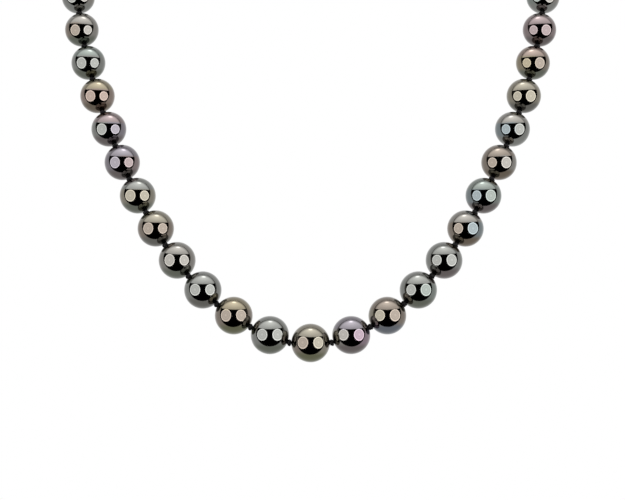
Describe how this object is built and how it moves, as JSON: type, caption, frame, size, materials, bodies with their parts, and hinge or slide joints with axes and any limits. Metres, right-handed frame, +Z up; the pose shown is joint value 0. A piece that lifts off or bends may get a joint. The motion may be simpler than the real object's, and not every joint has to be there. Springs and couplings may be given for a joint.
{
  "type": "pearl necklace",
  "caption": "Graduated strand of drilled dark pearls, knotted on a silk cord, lying flat with its ball clasp undone.",
  "frame": {"origin": "middle of the bounding box at floor height", "axes": "+Z up from the surface the strand lies on, +Y from the largest pearl towards the clasp, +X to the right seen from the front"},
  "size_m": [0.1386, 0.1736, 0.01],
  "materials": {
    "pearl_01": "polished",
    "pearl_02": "polished",
    "pearl_03": "polished",
    "pearl_04": "polished",
    "pearl_05": "polished",
    "pearl_06": "polished",
    "pearl_07": "polished",
    "pearl_08": "polished",
    "pearl_09": "polished",
    "pearl_10": "polished",
    "pearl_11": "polished",
    "pearl_12": "polished",
    "pearl_13": "polished",
    "pearl_14": "polished",
    "pearl_15": "polished",
    "pearl_16": "polished",
    "pearl_17": "polished",
    "pearl_18": "polished",
    "pearl_19": "polished",
    "pearl_20": "polished",
    "pearl_21": "polished",
    "pearl_22": "polished",
    "pearl_23": "polished",
    "pearl_24": "polished",
    "pearl_25": "polished",
    "pearl_26": "polished",
    "pearl_27": "polished",
    "pearl_28": "polished",
    "pearl_29": "polished",
    "pearl_30": "polished",
    "pearl_31": "polished",
    "pearl_32": "polished",
    "pearl_33": "polished",
    "pearl_34": "polished",
    "pearl_35": "polished",
    "pearl_36": "polished",
    "pearl_37": "polished",
    "pearl_38": "polished",
    "pearl_39": "polished",
    "pearl_40": "polished",
    "pearl_41": "polished",
    "pearl_42": "polished",
    "pearl_43": "polished",
    "silk": "satin",
    "french_wire": "satin",
    "white_gold": "polished"
  },
  "bodies": {
    "pearl_22": {"pearl_22": "pearl_22", "silk_cord": "silk"},
    "pearl_01": {"pearl_01": "pearl_01"},
    "pearl_02": {"pearl_02": "pearl_02"},
    "pearl_03": {"pearl_03": "pearl_03"},
    "pearl_04": {"pearl_04": "pearl_04"},
    "pearl_05": {"pearl_05": "pearl_05"},
    "pearl_06": {"pearl_06": "pearl_06"},
    "pearl_07": {"pearl_07": "pearl_07"},
    "pearl_08": {"pearl_08": "pearl_08"},
    "pearl_09": {"pearl_09": "pearl_09"},
    "pearl_10": {"pearl_10": "pearl_10"},
    "pearl_11": {"pearl_11": "pearl_11"},
    "pearl_12": {"pearl_12": "pearl_12"},
    "pearl_13": {"pearl_13": "pearl_13"},
    "pearl_14": {"pearl_14": "pearl_14"},
    "pearl_15": {"pearl_15": "pearl_15"},
    "pearl_16": {"pearl_16": "pearl_16"},
    "pearl_17": {"pearl_17": "pearl_17"},
    "pearl_18": {"pearl_18": "pearl_18"},
    "pearl_19": {"pearl_19": "pearl_19"},
    "pearl_20": {"pearl_20": "pearl_20"},
    "pearl_21": {"pearl_21": "pearl_21"},
    "pearl_23": {"pearl_23": "pearl_23"},
    "pearl_24": {"pearl_24": "pearl_24"},
    "pearl_25": {"pearl_25": "pearl_25"},
    "pearl_26": {"pearl_26": "pearl_26"},
    "pearl_27": {"pearl_27": "pearl_27"},
    "pearl_28": {"pearl_28": "pearl_28"},
    "pearl_29": {"pearl_29": "pearl_29"},
    "pearl_30": {"pearl_30": "pearl_30"},
    "pearl_31": {"pearl_31": "pearl_31"},
    "pearl_32": {"pearl_32": "pearl_32"},
    "pearl_33": {"pearl_33": "pearl_33"},
    "pearl_34": {"pearl_34": "pearl_34"},
    "pearl_35": {"pearl_35": "pearl_35"},
    "pearl_36": {"pearl_36": "pearl_36"},
    "pearl_37": {"pearl_37": "pearl_37"},
    "pearl_38": {"pearl_38": "pearl_38"},
    "pearl_39": {"pearl_39": "pearl_39"},
    "pearl_40": {"pearl_40": "pearl_40"},
    "pearl_41": {"pearl_41": "pearl_41"},
    "pearl_42": {"pearl_42": "pearl_42"},
    "pearl_43": {"pearl_43": "pearl_43"},
    "wire_left": {"french_wire_left": "french_wire"},
    "wire_right": {"french_wire_right": "french_wire"},
    "ball_half": {"clasp_ball_ring": "white_gold", "clasp_ball": "white_gold", "clasp_mouth_plate": "white_gold"},
    "tongue_half": {"tongue_ring": "white_gold", "tongue_cap": "white_gold", "tongue_base": "white_gold"},
    "tongue_leaf": {"tongue_spring": "white_gold"}
  },
  "joints": [
    {"name": "knot_22_23", "type": "hinge", "parent": "pearl_22", "child": "pearl_23", "pos_m": [0.00547, -0.08178, 0.005], "axis": [0, 0, 1], "range_deg": [-35, 2], "deforming": ["silk_cord"]},
    {"name": "knot_23_24", "type": "hinge", "parent": "pearl_23", "child": "pearl_24", "pos_m": [0.01549, -0.07753, 0.00495], "axis": [0.487, -0.8734, 0], "range_deg": [-35, 35]},
    {"name": "knot_24_25", "type": "hinge", "parent": "pearl_24", "child": "pearl_25", "pos_m": [0.02431, -0.07129, 0.00491], "axis": [0, 0, -1], "range_deg": [-2, 35]},
    {"name": "knot_25_26", "type": "hinge", "parent": "pearl_25", "child": "pearl_26", "pos_m": [0.03181, -0.0636, 0.00487], "axis": [-0.7626, 0.6469, 0], "range_deg": [-35, 35]},
    {"name": "knot_26_27", "type": "hinge", "parent": "pearl_26", "child": "pearl_27", "pos_m": [0.03812, -0.05501, 0.00484], "axis": [0, 0, 1], "range_deg": [-35, 2.5]},
    {"name": "knot_27_28", "type": "hinge", "parent": "pearl_27", "child": "pearl_28", "pos_m": [0.04352, -0.0459, 0.0048], "axis": [0.8775, -0.4797, 0], "range_deg": [-35, 35]},
    {"name": "knot_28_29", "type": "hinge", "parent": "pearl_28", "child": "pearl_29", "pos_m": [0.04825, -0.03649, 0.00477], "axis": [0, 0, -1], "range_deg": [-4, 35]},
    {"name": "knot_29_30", "type": "hinge", "parent": "pearl_29", "child": "pearl_30", "pos_m": [0.05244, -0.02692, 0.00473], "axis": [-0.9251, 0.3798, 0], "range_deg": [-35, 35]},
    {"name": "knot_30_31", "type": "hinge", "parent": "pearl_30", "child": "pearl_31", "pos_m": [0.05616, -0.01723, 0.0047], "axis": [0, 0, 1], "range_deg": [-35, 35]},
    {"name": "knot_31_32", "type": "hinge", "parent": "pearl_31", "child": "pearl_32", "pos_m": [0.05935, -0.00743, 0.00466], "axis": [0.9596, -0.2813, 0], "range_deg": [-35, 35]},
    {"name": "knot_32_33", "type": "hinge", "parent": "pearl_32", "child": "pearl_33", "pos_m": [0.06194, 0.00247, 0.00462], "axis": [0, 0, -1], "range_deg": [-35, 35]},
    {"name": "knot_33_34", "type": "hinge", "parent": "pearl_33", "child": "pearl_34", "pos_m": [0.06379, 0.01247, 0.00459], "axis": [-0.9903, 0.1393, 0], "range_deg": [-35, 35]},
    {"name": "knot_34_35", "type": "hinge", "parent": "pearl_34", "child": "pearl_35", "pos_m": [0.06476, 0.02251, 0.00455], "axis": [0, 0, 1], "range_deg": [-35, 35]},
    {"name": "knot_35_36", "type": "hinge", "parent": "pearl_35", "child": "pearl_36", "pos_m": [0.06469, 0.03253, 0.00452], "axis": [0.9977, 0.0671, 0], "range_deg": [-35, 35]},
    {"name": "knot_36_37", "type": "hinge", "parent": "pearl_36", "child": "pearl_37", "pos_m": [0.06342, 0.0424, 0.00448], "axis": [0, 0, -1], "range_deg": [-35, 35]},
    {"name": "knot_37_38", "type": "hinge", "parent": "pearl_37", "child": "pearl_38", "pos_m": [0.06081, 0.05193, 0.00445], "axis": [-0.9399, -0.3414, 0], "range_deg": [-35, 35]},
    {"name": "knot_38_39", "type": "hinge", "parent": "pearl_38", "child": "pearl_39", "pos_m": [0.05673, 0.06085, 0.00441], "axis": [0, 0, 1], "range_deg": [-35, 35]},
    {"name": "knot_39_40", "type": "hinge", "parent": "pearl_39", "child": "pearl_40", "pos_m": [0.05114, 0.06881, 0.00438], "axis": [0.7548, 0.656, 0], "range_deg": [-35, 35]},
    {"name": "knot_40_41", "type": "hinge", "parent": "pearl_40", "child": "pearl_41", "pos_m": [0.04408, 0.07542, 0.00434], "axis": [0, 0, -1], "range_deg": [-35, 35]},
    {"name": "knot_41_42", "type": "hinge", "parent": "pearl_41", "child": "pearl_42", "pos_m": [0.03575, 0.08018, 0.0043], "axis": [-0.381, -0.9246, 0], "range_deg": [-35, 35]},
    {"name": "knot_42_43", "type": "hinge", "parent": "pearl_42", "child": "pearl_43", "pos_m": [0.02656, 0.08265, 0.00427], "axis": [0, 0, 1], "range_deg": [-35, 35]},
    {"name": "knot_43_wire", "type": "hinge", "parent": "pearl_43", "child": "wire_right", "pos_m": [0.01711, 0.08241, 0.00425], "axis": [0, 1, 0], "range_deg": [-35, 35]},
    {"name": "ring_tongue", "type": "hinge", "parent": "wire_right", "child": "tongue_half", "pos_m": [0.01466, 0.08241, 0.00456], "axis": [-0.3289, 0, 0.9444], "range_deg": [-40, 40]},
    {"name": "knot_21_22", "type": "hinge", "parent": "pearl_22", "child": "pearl_21", "pos_m": [-0.00547, -0.08178, 0.005], "axis": [0, 0, -1], "range_deg": [-35, 2]},
    {"name": "knot_20_21", "type": "hinge", "parent": "pearl_21", "child": "pearl_20", "pos_m": [-0.01549, -0.07753, 0.00495], "axis": [0.487, 0.8734, 0], "range_deg": [-35, 35]},
    {"name": "knot_19_20", "type": "hinge", "parent": "pearl_20", "child": "pearl_19", "pos_m": [-0.02431, -0.07129, 0.00491], "axis": [0, 0, 1], "range_deg": [-2, 35]},
    {"name": "knot_18_19", "type": "hinge", "parent": "pearl_19", "child": "pearl_18", "pos_m": [-0.03181, -0.0636, 0.00487], "axis": [-0.7626, -0.6469, 0], "range_deg": [-35, 35]},
    {"name": "knot_17_18", "type": "hinge", "parent": "pearl_18", "child": "pearl_17", "pos_m": [-0.03812, -0.05501, 0.00484], "axis": [0, 0, -1], "range_deg": [-35, 2.5]},
    {"name": "knot_16_17", "type": "hinge", "parent": "pearl_17", "child": "pearl_16", "pos_m": [-0.04352, -0.0459, 0.0048], "axis": [0.8775, 0.4797, 0], "range_deg": [-35, 35]},
    {"name": "knot_15_16", "type": "hinge", "parent": "pearl_16", "child": "pearl_15", "pos_m": [-0.04825, -0.03649, 0.00477], "axis": [0, 0, 1], "range_deg": [-4, 35]},
    {"name": "knot_14_15", "type": "hinge", "parent": "pearl_15", "child": "pearl_14", "pos_m": [-0.05244, -0.02692, 0.00473], "axis": [-0.9251, -0.3798, 0], "range_deg": [-35, 35]},
    {"name": "knot_13_14", "type": "hinge", "parent": "pearl_14", "child": "pearl_13", "pos_m": [-0.05616, -0.01723, 0.0047], "axis": [0, 0, -1], "range_deg": [-35, 35]},
    {"name": "knot_12_13", "type": "hinge", "parent": "pearl_13", "child": "pearl_12", "pos_m": [-0.05935, -0.00743, 0.00466], "axis": [0.9596, 0.2813, 0], "range_deg": [-35, 35]},
    {"name": "knot_11_12", "type": "hinge", "parent": "pearl_12", "child": "pearl_11", "pos_m": [-0.06194, 0.00247, 0.00462], "axis": [0, 0, 1], "range_deg": [-35, 35]},
    {"name": "knot_10_11", "type": "hinge", "parent": "pearl_11", "child": "pearl_10", "pos_m": [-0.06379, 0.01247, 0.00459], "axis": [-0.9903, -0.1393, 0], "range_deg": [-35, 35]},
    {"name": "knot_09_10", "type": "hinge", "parent": "pearl_10", "child": "pearl_09", "pos_m": [-0.06476, 0.02251, 0.00455], "axis": [0, 0, -1], "range_deg": [-35, 35]},
    {"name": "knot_08_09", "type": "hinge", "parent": "pearl_09", "child": "pearl_08", "pos_m": [-0.06469, 0.03253, 0.00452], "axis": [0.9977, -0.0671, 0], "range_deg": [-35, 35]},
    {"name": "knot_07_08", "type": "hinge", "parent": "pearl_08", "child": "pearl_07", "pos_m": [-0.06342, 0.0424, 0.00448], "axis": [0, 0, 1], "range_deg": [-35, 35]},
    {"name": "knot_06_07", "type": "hinge", "parent": "pearl_07", "child": "pearl_06", "pos_m": [-0.06081, 0.05193, 0.00445], "axis": [-0.9399, 0.3414, 0], "range_deg": [-35, 35]},
    {"name": "knot_05_06", "type": "hinge", "parent": "pearl_06", "child": "pearl_05", "pos_m": [-0.05673, 0.06085, 0.00441], "axis": [0, 0, -1], "range_deg": [-35, 35]},
    {"name": "knot_04_05", "type": "hinge", "parent": "pearl_05", "child": "pearl_04", "pos_m": [-0.05114, 0.06881, 0.00438], "axis": [0.7548, -0.656, 0], "range_deg": [-35, 35]},
    {"name": "knot_03_04", "type": "hinge", "parent": "pearl_04", "child": "pearl_03", "pos_m": [-0.04408, 0.07542, 0.00434], "axis": [0, 0, 1], "range_deg": [-35, 35]},
    {"name": "knot_02_03", "type": "hinge", "parent": "pearl_03", "child": "pearl_02", "pos_m": [-0.03575, 0.08018, 0.0043], "axis": [-0.381, 0.9246, 0], "range_deg": [-35, 35]},
    {"name": "knot_01_02", "type": "hinge", "parent": "pearl_02", "child": "pearl_01", "pos_m": [-0.02656, 0.08265, 0.00427], "axis": [0, 0, -1], "range_deg": [-35, 35]},
    {"name": "knot_01_wire", "type": "hinge", "parent": "pearl_01", "child": "wire_left", "pos_m": [-0.01711, 0.08241, 0.00425], "axis": [0, -1, 0], "range_deg": [-35, 35]},
    {"name": "ring_ball", "type": "hinge", "parent": "wire_left", "child": "ball_half", "pos_m": [-0.01471, 0.08241, 0.00425], "axis": [0, 0, 1], "range_deg": [-40, 40]},
    {"name": "tongue_fold", "type": "hinge", "parent": "tongue_half", "child": "tongue_leaf", "pos_m": [0.00536, 0.08241, 0.00085], "axis": [0, 1, 0], "range_deg": [0, 6], "stiffness_Nm_per_rad": 0.02}
  ]
}
